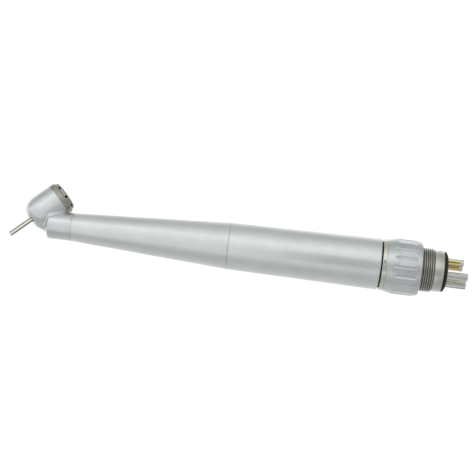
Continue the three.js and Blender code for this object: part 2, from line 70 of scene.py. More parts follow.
TILT = math.radians(45)                 # between the head axis and the body axis
FOOT = np.array([-145.41, 0.0, 1.08])   # centre of the head's bottom face
CASTING_TOP = 11.4                      # heights along the head axis, from the foot
RING_TOP = 13.6
HEAD_HEIGHT = 14.8
CARTRIDGE_FLOOR = 2.9
CARTRIDGE_BORE = 4.9
NOZZLE_SEAT = 2.4
RING_LEDGE = 12.0                       # the button's spring stands on it
BUTTON_R = 5.17
PORTS = 8                               # round holes in the button's side
PORT_R = 0.47
PORT_DEPTH = 0.6
PORT_HEIGHT = 13.92
PORT_TILT = math.radians(20)
PORT_PHASE = math.radians(27)
PIN_R = 0.8
PIN_OUT = 9.0
PIN_IN = 8.3

NECK_FRONT = -138.8
NECK_R = -span("head_housing", 2)[0]
NECK_SEAM = middle_of("neck_joint_ring")
NECK_BORE = 4.12
MIDDLE_SEAM = middle_of("middle_joint_ring")
MIDDLE_R = 8.09
MIDDLE_BORE = 6.92
SEAM_SEEN = 0.2                         # width of the joint lines at the skin
SEAM_RING = 0.09                        # half the width of the rings inside them
BARREL_END = span("rear_sleeve")[1]
BARREL_END_R = span("rear_sleeve", 2)[1]
BARREL_BORE = 7.42

SEAL_FRONT, SEAL_REAR = span("coupler_seal")
FRONT_RING_FRONT = -22.5
FRONT_RING_REAR = -21.0
FRONT_RING_R = 8.85
SPANNER_BOWL = math.radians(175)        # round from +Y towards +Z, like the next one
LOCATING_HOLE = math.radians(103)
SPANNER_BOWL_X = -21.775
LOCATING_HOLE_X = -2.85
RELEASE_FRONT, RELEASE_REAR = span("release_ring")
FLUTES = 18
FLAT_R = 9.53                           # from the body axis to the middle of a flat
THREAD_CREST = 7.6
THREAD_ROOT = 7.15
THREAD_PITCH = 0.72
THREAD_FRONT = -9.1
THREAD_REAR = -4.7
COLLAR_FRONT = -4.63
COLLAR_R = 7.06
GASKET_FRONT = span("coupler_body")[1]
O_RINGS = (-53, -47, -41)
LOCK_BALLS = 3
LOCK_BALL_R = 0.6
LOCK_BALL_X = -27
TUBES = {                               # outer radius, bore radius, end, y and z
    "water_connector_tube": (1.15, 0.78, 5.65, -0.9, 3.76),
    "chip_air_connector_tube": (1.15, 0.78, 5.65, 0.75, 2.0),
    "drive_air_connector_tube": (1.36, 0.98, 7.4, -1.9, -1.0),
    "exhaust_connector_tube": (1.45, 1.1, 7.4, 0.85, -3.72),
}
TUBE_FRONT = -8
TUBE_PLAY = 0.08                        # between a tube and its hole
SOCKET_HOLES = ((0.92, -2.3, 1.6), (0.67, 1.8, -2.6), (0.67, -1.9, -2.4), (1.4, 2.2, 2.0))
FLOOR_LEVEL = -300
FLOOR_REACH = 1500

HEAD_AXIS = np.array([math.cos(TILT), 0.0, math.sin(TILT)])
HEAD = np.eye(4)
HEAD[:3, 0] = HEAD_AXIS
HEAD[:3, 2] = [-math.sin(TILT), 0.0, math.cos(TILT)]
HEAD[:3, 3] = FOOT
BODY = np.eye(4)
# The coupler swivels freely. It is drawn turned by the angle from which the camera sees the body.
TURN = math.radians(19.3)
COUPLER_TURN = Matrix.Rotation(TURN, 4, "X")

WELD = 1e-7                             # metres; points closer than this are one


# ---- meshes -----------------------------------------------------------------------------------
def mesh_object(name, verts, faces, matrix=BODY):
    """A mesh from points in mm, moved by a 4 by 4 matrix and scaled to metres."""
    v = np.asarray(verts, float) @ matrix[:3, :3].T + matrix[:3, 3]
    mesh = bpy.data.meshes.new(name)
    mesh.from_pydata((v * 0.001).tolist(), [], faces)
    obj = bpy.data.objects.new(name, mesh)
    bpy.context.collection.objects.link(obj)
    bm = bmesh.new()
    bm.from_mesh(mesh)
    bmesh.ops.remove_doubles(bm, verts=bm.verts, dist=2 * WELD)
    bmesh.ops.recalc_face_normals(bm, faces=bm.faces)
    bm.to_mesh(mesh)
    bm.free()
    return obj


def soften(profile, radius, steps=3):
    """Rounds every corner of a profile that lies off the axis."""
    pts = [np.array(p, float) for p in profile]
    ring = pts[0][1] > 0 or pts[-1][1] > 0
    count = len(pts)
    out = []
    for i, p in enumerate(pts):
        if not ring and i in (0, count - 1):
            out.append(p)
            continue
        before, after = pts[i - 1] - p, pts[(i + 1) % count] - p
        reach_a, reach_b = np.linalg.norm(before), np.linalg.norm(after)
        cosine = abs(before @ after) / max(reach_a * reach_b, 1e-9)
        if cosine > 0.9995 or p[1] < 1e-6:
            out.append(p)
            continue
        a = p + before / reach_a * min(radius, 0.45 * reach_a)
        b = p + after / reach_b * min(radius, 0.45 * reach_b)
        for t in np.linspace(0, 1, steps + 1):
            out.append((1 - t) ** 2 * a + 2 * t * (1 - t) * p + t * t * b)
    return out


def revolve(name, profile, segments=192, matrix=BODY, radius=None, offset=(0, 0)):
    """A turned body about X from (x, radius) pairs; radius(x, r, angle) may shape it further."""
    pts = np.array(profile, float)
    ring = pts[0][1] > 0 or pts[-1][1] > 0
    n = len(pts)
    angle = np.linspace(0, 2 * math.pi, segments, endpoint=False)
    x = np.tile(pts[:, 0], (segments, 1))
    r = np.tile(pts[:, 1], (segments, 1))
    a = np.tile(angle[:, None], (1, n))
    if radius:
        r = radius(x, r, a)
    verts = np.stack([x, -r * np.sin(a) + offset[0], r * np.cos(a) + offset[1]], -1).reshape(-1, 3)
    faces = []
    for k in range(segments):
        here, there = k * n, ((k + 1) % segments) * n
        for j in range(n if ring else n - 1):
            j2 = (j + 1) % n
            quad = [here + j, there + j, there + j2, here + j2]
            if pts[j][1] < 1e-9:
                quad = [here + j, there + j2, here + j2]
            elif pts[j2][1] < 1e-9:
                quad = [here + j, there + j, here + j2]
            faces.append(quad)
    return mesh_object(name, verts, faces, matrix)


def cylinder(radius, start, end, segments=48):
    """A plain cutter between two points, mm."""
    start, end = np.array(start, float), np.array(end, float)
    way = (end - start) / np.linalg.norm(end - start)
    side = np.cross(way, [0, 1, 0] if abs(way[1]) < 0.9 else [1, 0, 0])
    side /= np.linalg.norm(side)
    frame_3 = np.eye(4)
    frame_3[:3, 0], frame_3[:3, 1], frame_3[:3, 2] = way, side, np.cross(way, side)
    frame_3[:3, 3] = start
    length = np.linalg.norm(end - start)
    return revolve("cutter", [(0, 0), (0, radius), (length, radius), (length, 0)], segments, frame_3)


def spring(name, radius, wire, start, end, turns, matrix=BODY):
    """A compression spring along X between start and end, with closed coils at both ends, mm."""
    steps, sides = int(turns * 64), 16
    share = np.linspace(0, 1, steps + 1)
    closed = 0.6 / turns
    climb = np.clip(np.minimum(share, 1 - share) / closed, 0.12, 1)
    rise = np.concatenate([[0], np.cumsum((climb[1:] + climb[:-1]) / 2)])
    x = start + wire + (end - start - 2 * wire) * rise / rise[-1]
    angle = 2 * math.pi * turns * share
    out = np.stack([np.zeros(steps + 1), np.cos(angle), np.sin(angle)], -1)
    way = np.gradient(np.stack([x, radius * out[:, 1], radius * out[:, 2]], -1), axis=0)
    way /= np.linalg.norm(way, axis=1)[:, None]
    up = np.cross(way, out)
    centre = radius * out
    centre[:, 0] = x
    verts = [centre[0]]
    for i in range(steps + 1):
        for t in np.linspace(0, 2 * math.pi, sides, endpoint=False):
            verts.append(centre[i] + wire * (math.cos(t) * out[i] + math.sin(t) * up[i]))
    verts.append(centre[-1])
    faces = []
    for k in range(sides):
        k2 = (k + 1) % sides
        faces.append([0, 1 + k2, 1 + k])
        for i in range(steps):
            here = 1 + i * sides
            faces.append([here + k, here + k2, here + sides + k2, here + sides + k])
        faces.append([len(verts) - 1, 1 + steps * sides + k, 1 + steps * sides + k2])
    return mesh_object(name, verts, faces, matrix)


def combine(obj, others, operation):
    """Applies a boolean with other objects, which are used up."""
    for other in others:
        mod = obj.modifiers.new("combine", "BOOLEAN")
        mod.object = other
        mod.operation = operation
        mod.solver = "EXACT"
    result = bpy.data.meshes.new_from_object(obj.evaluated_get(bpy.context.evaluated_depsgraph_get()))
    obj.modifiers.clear()
    bm = bmesh.new()
    bm.from_mesh(result)
    bmesh.ops.remove_doubles(bm, verts=bm.verts, dist=WELD)
    bmesh.ops.dissolve_degenerate(bm, edges=bm.edges, dist=WELD)
    bm.to_mesh(result)
    bm.free()
    old = obj.data
    obj.data = result
    bpy.data.meshes.remove(old)
    for other in others:
        bpy.data.objects.remove(other)
    return obj


def carve(obj, cutters):
    return combine(obj, cutters, "DIFFERENCE")


def dress(obj, body, stands_for, material, sharp=38.0, dark=None, dark_material=None):
    """Smooths and paints a piece and hands it to its body, in the place of a CAD node."""
    mesh = obj.data
    mesh.materials.clear()
    mesh.materials.append(material)
    if dark_material:
        mesh.materials.append(dark_material)
    for poly in mesh.polygons:
        poly.use_smooth = True
        poly.material_index = 1 if dark and dark(np.array(poly.center) * 1000) else 0
    mesh.set_sharp_from_angle(angle=math.radians(sharp))
    if body in ("coupler", "release_ring"):
        mesh.transform(COUPLER_TURN)
    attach(obj, body)
    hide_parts(stands_for)


# ---- materials --------------------------------------------------------------------------------
class Shader:
    """A small builder for one material's nodes."""

    def __init__(self, name):
        self.material = bpy.data.materials.new(name)
        self.material.use_nodes = True
        self.tree = self.material.node_tree
        self.bsdf = self.tree.nodes["Principled BSDF"]
        self.place = self.node("ShaderNodeTexCoord").outputs["Object"]

    def node(self, kind, **values):
        n = self.tree.nodes.new(kind)
        for key, value in values.items():
            setattr(n, key, value)
        return n

    def link(self, a, b):
        self.tree.links.new(a, b)

    def noise(self, scale, detail=3.0, roughness=0.55, stretch=None):
        """Noise in the object's own metres, optionally drawn out along an axis."""
        n = self.node("ShaderNodeTexNoise")
        n.inputs["Scale"].default_value = scale
        n.inputs["Detail"].default_value = detail
        n.inputs["Roughness"].default_value = roughness
        source = self.place
        if stretch is not None:
            m = self.node("ShaderNodeMapping")
            m.inputs["Rotation"].default_value = stretch[0]
            m.inputs["Scale"].default_value = stretch[1]
            self.link(self.place, m.inputs["Vector"])
            source = m.outputs["Vector"]
        self.link(source, n.inputs["Vector"])
        return n.outputs["Fac"]

    def lines(self, axis, scale, detail=4.0):
        """Turning marks: noise that depends only on the place along an axis."""
        dot = self.node("ShaderNodeVectorMath", operation="DOT_PRODUCT")
        dot.inputs[1].default_value = tuple(axis)
        self.link(self.place, dot.inputs[0])
        n = self.node("ShaderNodeTexNoise", noise_dimensions="1D")
        n.inputs["Scale"].default_value = scale
        n.inputs["Detail"].default_value = detail
        self.link(dot.outputs["Value"], n.inputs["W"])
        return n.outputs["Fac"]

    def radius(self):
        """Distance from the body axis, in metres."""
        across = self.node("ShaderNodeVectorMath", operation="MULTIPLY")
        across.inputs[1].default_value = (0, 1, 1)
        self.link(self.place, across.inputs[0])
        length = self.node("ShaderNodeVectorMath", operation="LENGTH")
        self.link(across.outputs["Vector"], length.inputs[0])
        return length.outputs["Value"]

    def ramp(self, fac, low, high, a, b):
        """A value that goes from a to b while fac goes from low to high."""
        m = self.node("ShaderNodeMapRange", clamp=True)
        for key, value in (("From Min", low), ("From Max", high), ("To Min", a), ("To Max", b)):
            m.inputs[key].default_value = value
        self.link(fac, m.inputs["Value"])
        return m.outputs["Result"]

    def sum(self, *values):
        total = values[0]
        for value in values[1:]:
            add = self.node("ShaderNodeMath", operation="ADD")
            self.link(total, add.inputs[0])
            self.link(value, add.inputs[1])
            total = add.outputs[0]
        return total

    def mix(self, fac, a, b):
        """Colour mix; a and b are colours or sockets."""
        m = self.node("ShaderNodeMix", data_type="RGBA")
        self.link(fac, m.inputs["Factor"])
        for value, socket in ((a, m.inputs["A"]), (b, m.inputs["B"])):
            if isinstance(value, tuple):
                socket.default_value = (*value, 1.0)
            else:
                self.link(value, socket)
        return m.outputs["Result"]

    def bump(self, heights):
        """Chains bumps from (height socket, strength, distance in mm)."""
        normal = None
        for height, strength, distance in heights:
            b = self.node("ShaderNodeBump")
            b.inputs["Strength"].default_value = strength
            b.inputs["Distance"].default_value = distance * 0.001
            self.link(height, b.inputs["Height"])
            if normal:
                self.link(normal, b.inputs["Normal"])
            normal = b.outputs["Normal"]
        self.link(normal, self.bsdf.inputs["Normal"])

    def worn_edges(self, radius_mm=0.12):
        """Near 1 on edges: the rounded normal leaves the true one there."""
        bevel = self.node("ShaderNodeBevel", samples=4)
        bevel.inputs["Radius"].default_value = radius_mm * 0.001
        geometry = self.node("ShaderNodeNewGeometry")
        dot = self.node("ShaderNodeVectorMath", operation="DOT_PRODUCT")
        self.link(bevel.outputs["Normal"], dot.inputs[0])
        self.link(geometry.outputs["Normal"], dot.inputs[1])
        return self.ramp(dot.outputs["Value"], 0.985, 0.9, 0.0, 1.0)


def metal(name, color, rough, axis=(1, 0, 0), grain=0.0, marks=0.0, mottle=0.05, smudge=0.06,
          bright_edge=0.25, pits=0.0, cloud=140, root_shade=None):
    """Worked metal: blasted grain, turning marks, mottling, smudges, worn edges, pits, painted shade in
    the hollows between thread teeth.
    """
    s = Shader(name)
    s.bsdf.inputs["Metallic"].default_value = 1.0
    fine = s.noise(9000, 2, 0.6)
    broad = s.noise(cloud, 4, 0.6)
    patches = s.noise(38, 3, 0.5)
    turning = s.lines(axis, 5200)
    edge = s.worn_edges()
    dark = tuple(c * (1 - mottle * 2.2) for c in color)
    light = tuple(min(1.0, c * (1 + mottle)) for c in color)
    tone = s.mix(s.ramp(broad, 0.3, 0.7, 0.0, 1.0), dark, light)
    if pits:
        speck = s.ramp(s.noise(2600, 1, 0.4), 0.27, 0.22, 0.0, pits)
        tone = s.mix(speck, tone, tuple(c * 0.25 for c in color))
    tone = s.mix(s.ramp(edge, 0, 1, 0, bright_edge), tone, tuple(min(1.0, c * 1.25) for c in color))
    # Painted shade: darker towards the thread's root radius.
    if root_shade:
        low, high, share = root_shade
        tone = s.mix(s.ramp(s.radius(), low * 0.001, high * 0.001, 1, 0), tone,
                     tuple(c * share for c in color))
    s.link(tone, s.bsdf.inputs["Base Color"])
    base = s.ramp(patches, 0.35, 0.65, rough - smudge, rough + smudge)
    line = s.ramp(turning, 0.3, 0.7, -0.05 * (marks > 0), 0.05 * (marks > 0))
    polish = s.ramp(edge, 0, 1, 0.0, -0.12)
    s.link(s.sum(base, line, polish), s.bsdf.inputs["Roughness"])
    heights = []
    if grain:
        heights.append((fine, grain, 0.012))
    if marks:
        heights.append((turning, marks, 0.008))
    scratch = s.noise(900, 2, 0.5, ((0.3, 0.9, 0.5), (1.0, 14.0, 14.0)))
    heights.append((s.ramp(scratch, 0.30, 0.26, 0.0, -1.0), 0.12, 0.006))
    s.bump(heights)
    return s.material


def painted_reflection_rod(name, middle, flank, edge, rough, axis, streak, core):
    """A thin metal rod, drawn along its axis, with a painted reflection: one tone down the middle,
    others beside it.

    Core is how far round from the middle the first tone reaches; streak is how far that varies."""
    s = Shader(name)
    s.bsdf.inputs["Metallic"].default_value = 1.0
    facing = s.node("ShaderNodeLayerWeight")
    facing.inputs["Blend"].default_value = 0.5
    turned = s.node("ShaderNodeMapping")
    turned.inputs["Rotation"].default_value = axis
    turned.inputs["Scale"].default_value = (0.03, 1.0, 1.0)
    s.link(s.place, turned.inputs["Vector"])
    drawn = s.node("ShaderNodeTexNoise")
    drawn.inputs["Scale"].default_value = 1500
    drawn.inputs["Detail"].default_value = 3
    s.link(turned.outputs["Vector"], drawn.inputs["Vector"])
    wobble = s.ramp(drawn.outputs["Fac"], 0.3, 0.7, -streak, streak)
    place = s.sum(facing.outputs["Facing"], wobble)
    # Painted reflection: the tones follow how squarely each face meets the view.
    tone = s.mix(s.ramp(place, core / 5, core, 0, 1), middle, flank)
    tone = s.mix(s.ramp(place, core + 0.15, core + 0.4, 0, 1), tone, edge)
    s.link(tone, s.bsdf.inputs["Base Color"])
    s.link(s.ramp(s.noise(500, 3), 0.3, 0.7, rough - 0.04, rough + 0.06), s.bsdf.inputs["Roughness"])
    s.bump([(drawn.outputs["Fac"], 0.15, 0.01)])
    return s, tone


def rubber(name, color, rough=0.62):
    s = Shader(name)
    dust = s.ramp(s.noise(1600, 3, 0.7), 0.62, 0.75, 0.0, 0.35)
    tone = s.mix(dust, color, (0.12, 0.115, 0.105))
    s.link(tone, s.bsdf.inputs["Base Color"])
    s.link(s.ramp(s.noise(300, 3), 0.3, 0.7, rough - 0.12, rough + 0.12), s.bsdf.inputs["Roughness"])
    s.bsdf.inputs["Specular IOR Level"].default_value = 0.35
    s.bump([(s.noise(5200, 3, 0.6), 0.35, 0.02), (s.noise(700, 2), 0.2, 0.03)])
    return s.material


def tube_gold_painted_reflection(name):
    """Gold plate with a painted reflection, stopping short of the tube's bare tip."""
    s, gold_reflection = painted_reflection_rod(name, (0.42, 0.29, 0.09), (1.0, 0.95, 0.50), (0.74, 0.69, 0.66), 0.2, (0, 0, 0),
                       0.05, 0.13)
    split = s.node("ShaderNodeSeparateXYZ")
    s.link(s.place, split.inputs[0])
    along = s.sum(split.outputs["X"], s.ramp(s.noise(900, 2), 0, 1, -0.0002, 0.0002))
    tip = s.ramp(along, 0.0042, 0.0045, 0.0, 1.0)
    s.link(s.mix(tip, gold_reflection, (0.74, 0.70, 0.70)), s.bsdf.inputs["Base Color"])
    return s.material


SATIN = metal("satin_casting", (0.715, 0.735, 0.74), 0.29, grain=0.14, mottle=0.03, smudge=0.05,
              bright_edge=0.5)
SLEEVE = metal("satin_sleeve", (0.77, 0.79, 0.78), 0.36, grain=0.16, marks=0.05, mottle=0.025,
               smudge=0.05, bright_edge=0.6)
RING = metal("satin_release_ring", (0.69, 0.705, 0.71), 0.30, grain=0.05, marks=0.05, mottle=0.04,
             smudge=0.06, bright_edge=0.7)
CAP = metal("head_steel", (0.45, 0.445, 0.385), 0.30, HEAD_AXIS, grain=0.1, marks=0.14, mottle=0.14,
            smudge=0.08, bright_edge=0.5, pits=0.5, cloud=650)
# The thread steel carries painted shade between its teeth.
THREAD = metal("thread_steel", (0.60, 0.59, 0.54), 0.30, marks=0.1, mottle=0.10, smudge=0.08,
               bright_edge=0.9, pits=0.4, root_shade=(THREAD_ROOT + 0.08, THREAD_CREST - 0.1, 0.4))
COLLAR = metal("collar_nickel", (0.66, 0.65, 0.59), 0.22, marks=0.10, mottle=0.07, smudge=0.07,
               bright_edge=0.6, pits=0.3)
CHAMPAGNE = metal("champagne_ring", (0.735, 0.72, 0.63), 0.20, marks=0.12, mottle=0.06,
                  bright_edge=0.6, pits=0.3)
STEEL = metal("turned_steel", (0.62, 0.61, 0.58), 0.24, marks=0.16, mottle=0.06, bright_edge=0.4)
HEAD_STEEL = metal("turned_head_steel", (0.62, 0.61, 0.58), 0.24, HEAD_AXIS, marks=0.16, mottle=0.06)
# Shiny tubes, lock balls and the pin have their reflections painted on; the pin's bright middle line is
# a painted highlight.
POLISHED_PAINTED_REFLECTION = painted_reflection_rod("polished_tube_painted_reflection", (0.52, 0.51, 0.48), (0.92, 0.91, 0.87), (0.42, 0.41, 0.39), 0.28,
                    (0, 0, 0), 0.18, 0.2)[0].material
PIN = painted_reflection_rod("pin_steel_painted_glint", (0.98, 0.95, 0.88), (0.42, 0.40, 0.34), (0.16, 0.15, 0.12), 0.18,
               (0, TILT, 0), 0.02, 0.10)[0].material
SEAM_STEEL = metal("seam_steel", (0.62, 0.62, 0.61), 0.4, marks=0.1)
# Near black on the ports' walls: painted shade down the holes.
PORT_SHADE = metal("painted_port_shade", (0.012, 0.012, 0.012), 0.7, mottle=0.2)
# Grey for the spanner bowl: painted shade in the dip.
BOWL_SHADE = metal("ring_bowl_painted_shade", (0.60, 0.59, 0.57), 0.4, mottle=0.1)
TURBINE = metal("turbine_alloy", (0.55, 0.60, 0.64), 0.3, HEAD_AXIS, marks=0.12)
GOLD = tube_gold_painted_reflection("tube_gold_painted_reflection")
BLACK = rubber("black_rubber", (0.012, 0.012, 0.012))
SEAL = rubber("seal_rubber", (0.006, 0.006, 0.006), 0.55)
CERAMIC = rubber("bearing_ceramic", (0.80, 0.79, 0.74), 0.3)


# ---- head casting -----------------------------------------------------------------------------
HEAD_PROFILE = [(0, 0), (0, 3.45), (0.12, 3.62), (0.7, 4.35), (1.4, 4.9), (2.2, 5.35), (3.2, 5.7),
                (4.6, 5.9), (8, 5.95), (13.0, 5.94), (13.0, 0)]
NECK_PROFILE = [(-143.4, 0), (-143.4, 1.15), (-139.7, 2.8), (NECK_FRONT - 0.05, 4.55),
                (NECK_FRONT + 0.1, 4.76), (NECK_FRONT + 0.4, NECK_R), (-129.0, NECK_R), (-129.0, 0)]
FILLET = 0.6
VOXEL = 0.00015    # metres
PULLS = 5                                     # steps that bring the even mesh onto the true skin
PULL_SHARE = 0.8
PROBE = 0.02


def up_head(height):
    """A point of the head's axis from its height over the foot."""
    return FOOT + HEAD_AXIS * height


def turned_distance(points, profile, matrix):
    """Signed distance from points to a turned body's skin, negative inside."""
    local = (points - matrix[:3, 3]) @ matrix[:3, :3]
    x, r = local[:, 0], np.hypot(local[:, 1], local[:, 2])
    p = np.array(profile, float)
    nearest = np.full(len(x), 1e9)
    inside = np.zeros(len(x), bool)
    for a, b in zip(p[:-1], p[1:]):
        d = b - a
        t = np.clip(((x - a[0]) * d[0] + (r - a[1]) * d[1]) / (d @ d), 0, 1)
        gap = np.hypot(x - a[0] - t * d[0], r - a[1] - t * d[1])
        nearest = np.minimum(nearest, gap)
        if a[0] != b[0]:
            across = (x >= min(a[0], b[0])) & (x < max(a[0], b[0]))
            height = a[1] + (x - a[0]) / (b[0] - a[0]) * (b[1] - a[1])
            inside |= across & (r < height)
    return np.where(inside, -nearest, nearest)


def casting_distance(points):
    """Head and neck, blended where they meet, with a bead and a crease that grow towards the ring."""
    a = turned_distance(points, soften(HEAD_PROFILE, 0.5, 5), HEAD)
    b = turned_distance(points, soften(NECK_PROFILE, 0.3, 4), BODY)
    h = np.clip(FILLET - np.abs(a - b), 0, None) / FILLET
    height = (points - FOOT) @ HEAD_AXIS
    upper = np.clip((height - 4) / 4, 0, 1)
    crease = np.exp(-((a - b - 0.95) / 0.3) ** 2) * (0.05 + 0.12 * upper)
    bead = np.exp(-((a - b - 0.2) / 0.35) ** 2) * 0.08 * upper
    return np.minimum(a, b) - h * h * FILLET / 4 + crease - bead


def casting():
    """Head and neck joined, remeshed evenly, drawn onto the blended skin, and bored out."""
    obj = revolve("head_casting", HEAD_PROFILE, 96, HEAD)
    combine(obj, [revolve("neck", NECK_PROFILE, 96)], "UNION")
    mod = obj.modifiers.new("even", "REMESH")
    mod.mode = "VOXEL"
    mod.voxel_size = VOXEL
    mesh = bpy.data.meshes.new_from_object(obj.evaluated_get(bpy.context.evaluated_depsgraph_get()))
    obj.modifiers.clear()
    obj.data = mesh
    v = np.empty(len(mesh.vertices) * 3)
    mesh.vertices.foreach_get("co", v)
    v = v.reshape(-1, 3) * 1000
    for _ in range(PULLS):
        d = casting_distance(v)
        g = np.stack([casting_distance(v + e) - casting_distance(v - e) for e in np.eye(3) * PROBE], -1)
        g /= 2 * PROBE
        v -= (PULL_SHARE * d / np.clip((g * g).sum(-1), 0.5, None))[:, None] * g
    mesh.vertices.foreach_set("co", (v * 0.001).ravel())
    mesh.update()
    carve(obj, [
        cylinder(6.15, up_head(CASTING_TOP), up_head(20), 160),
        cylinder(CARTRIDGE_BORE, up_head(CARTRIDGE_FLOOR), up_head(12.5), 96),
        cylinder(NOZZLE_SEAT, up_head(-1), up_head(3.2), 72),
        cylinder(9, (NECK_SEAM - SEAM_SEEN / 2, 0, 0), (-120, 0, 0), 96),
        cylinder(3.0, (-134, 0, 0), (-120, 0, 0), 64),
    ])
    return obj


dress(casting(), "handpiece", "head_housing", SATIN, 32)

dress(revolve("cap_ring", soften([
    (CASTING_TOP + 0.01, 4.85), (CASTING_TOP + 0.01, 5.88), (CASTING_TOP + 0.06, 5.92), (13.2, 5.87),
    (RING_TOP, 5.62), (RING_TOP, 5.34), (RING_LEDGE, 5.34), (RING_LEDGE, 3.6), (11.35, 3.6),
    (11.35, 4.8), (CASTING_TOP, 4.8),
], 0.28, 5), 192, HEAD), "handpiece", "head_cap_ring", CAP)


def head_point(w, r, angle):
    """A point of the head from its height, radius and angle round from the near side."""
    local = np.array([w, -r * math.cos(angle), r * math.sin(angle), 1.0])
    return (HEAD @ local)[:3]


def near_port(p):
    """Whether a face centre lies down one of the button's ports, where the walls get painted shade."""
    local = (p - FOOT) @ HEAD[:3, :3]
    r = math.hypot(local[1], local[2])
    skin = min(5.15, 5.15 - (local[0] - 14.35) * 0.8)    # the side, then the sloping rim
    return abs(local[0] - PORT_HEIGHT) < 0.6 and 4.5 < r < skin - 0.04


def push_button():
    """A cup with a rounded rim and a ring of slanting round ports in its side."""
    obj = revolve("button", soften([
        (13.05, 0), (13.05, 1.1), (13.95, 1.3), (13.95, 4.45), (12.75, 4.45), (12.75, BUTTON_R),
        (14.3, BUTTON_R), (14.6, 5.02), (HEAD_HEIGHT, 4.72), (HEAD_HEIGHT, 3.9),
        (HEAD_HEIGHT - 0.06, 3.75), (HEAD_HEIGHT - 0.06, 0),
    ], 0.2, 5), 192, HEAD)
    rise, reach = PORT_DEPTH * math.sin(PORT_TILT), PORT_DEPTH * math.cos(PORT_TILT)
    ports = []
    for k in range(PORTS):
        turn = 2 * math.pi * k / PORTS - PORT_PHASE
        inner = head_point(PORT_HEIGHT - rise, 5.2 - reach, turn)
        outer = head_point(PORT_HEIGHT + rise, 5.2 + reach, turn)
        ports.append(cylinder(PORT_R, inner, outer, 32))
    return carve(obj, ports)


dress(push_button(), "push_button", "push_button", CAP, 34, near_port, PORT_SHADE)

dress(revolve("pin", soften([
    (-PIN_OUT, 0), (-PIN_OUT, PIN_R), (PIN_IN, PIN_R), (PIN_IN, 0),
], 0.16, 4), 64, HEAD), "test_pin", "test_pin", PIN)
dress(revolve("nozzle", soften([
    (0.08, 1.75), (0.08, 2.3), (2.3, 2.3), (2.3, 1.75),
], 0.1, 3), 96, HEAD), "handpiece", "nozzle_insert", SEAM_STEEL)
dress(revolve("spindle", soften([
    (0.6, 1.2), (0.6, 1.52), (11.9, 1.52), (11.9, 1.2),
], 0.08, 3), 64, HEAD), "rotor", "rotor_spindle", HEAD_STEEL)

# The spring stands on the cap ring's ledge and gives way as the button comes down.
button_coil = spring("button_coil", radius=4.0, wire=0.16, start=12.08, end=13.87, turns=3, matrix=HEAD)
dress(button_coil, "handpiece", "button_spring", HEAD_STEEL)
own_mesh(button_coil)


# ---- sleeves ----------------------------------------------------------------------------------
def joint_ring(name, seam, inner, outer):
    """A thin turned ring that shows in the gap between two sleeves."""
    return revolve(name, [
        (seam - SEAM_RING, inner), (seam - SEAM_RING, outer), (seam + SEAM_RING, outer),
        (seam + SEAM_RING, inner),
    ], 128)


dress(joint_ring("neck_ring", NECK_SEAM, NECK_BORE, 4.79), "handpiece", "neck_joint_ring", SEAM_STEEL)
dress(joint_ring("middle_ring", MIDDLE_SEAM, 6.95, 8.02), "handpiece", "middle_joint_ring", SEAM_STEEL)
dress(revolve("sleeve_front", soften([
    (NECK_SEAM + SEAM_SEEN / 2, NECK_BORE), (NECK_SEAM + SEAM_SEEN / 2, NECK_R + 0.02),
    (MIDDLE_SEAM - SEAM_SEEN / 2, MIDDLE_R), (MIDDLE_SEAM - SEAM_SEEN / 2, MIDDLE_BORE),
    (-86, MIDDLE_BORE), (-87, 6.4), (-124, NECK_BORE),
], 0.12, 4), 256), "handpiece", "front_sleeve", SLEEVE)
dress(revolve("sleeve_rear", soften([
    (-84, 6.0), (-84, 6.8), (MIDDLE_SEAM + SEAM_SEEN / 2, 6.8),
    (MIDDLE_SEAM + SEAM_SEEN / 2, MIDDLE_R + 0.01), (BARREL_END - 0.28, BARREL_END_R),
    (BARREL_END, BARREL_END_R - 0.24), (BARREL_END, BARREL_BORE), (-62, BARREL_BORE), (-62, 6.0),
], 0.12, 4), 256), "handpiece", "rear_sleeve", SLEEVE)

# What shows in the barrel's mouth once the coupler is off.
socket = revolve("socket", soften([
    (-61.5, 0), (-61.5, 6.9), (-61.1, 7.3), (-31, 7.3), (-31, 5.62), (-57.6, 5.62), (-57.6, 0),
], 0.1, 3), 128)
carve(socket, [cylinder(r, (-63, y, z), (-57, y, z), 32) for r, y, z in SOCKET_HOLES])
dress(socket, "handpiece", "coupling_socket", STEEL)
dress(revolve("race", soften([
    (-30.6, 6.05), (-30.6, 7.1), (-24.3, 7.1), (-24.3, 6.25), (-24.6, 6.05), (-26.2, 6.05),
    (-27, 6.5), (-27.8, 6.05),
], 0.1, 3), 160), "lock_race", "lock_race", STEEL)
clip = revolve("clip", soften([
    (-23.95, 6.5), (-23.95, 7.32), (-23.6, 7.32), (-23.6, 6.5),
], 0.06, 3), 160)
carve(clip, [cylinder(1.2, (-23.8, 0, -5.5), (-23.8, 0, -8.5))])
dress(clip, "handpiece", "race_circlip", STEEL)

# ---- coupler ----------------------------------------------------------------------------------
dress(revolve("seal", soften([
    (SEAL_FRONT, 5.72), (SEAL_FRONT, 8.06), (SEAL_REAR, 8.06), (SEAL_REAR, 5.72),
], 0.1, 3), 160), "coupler", "coupler_seal", SEAL)


def out_of_body(angle):
    """The direction out of the body axis at an angle from +Y towards +Z."""
    return np.array([0, math.cos(angle), math.sin(angle)])


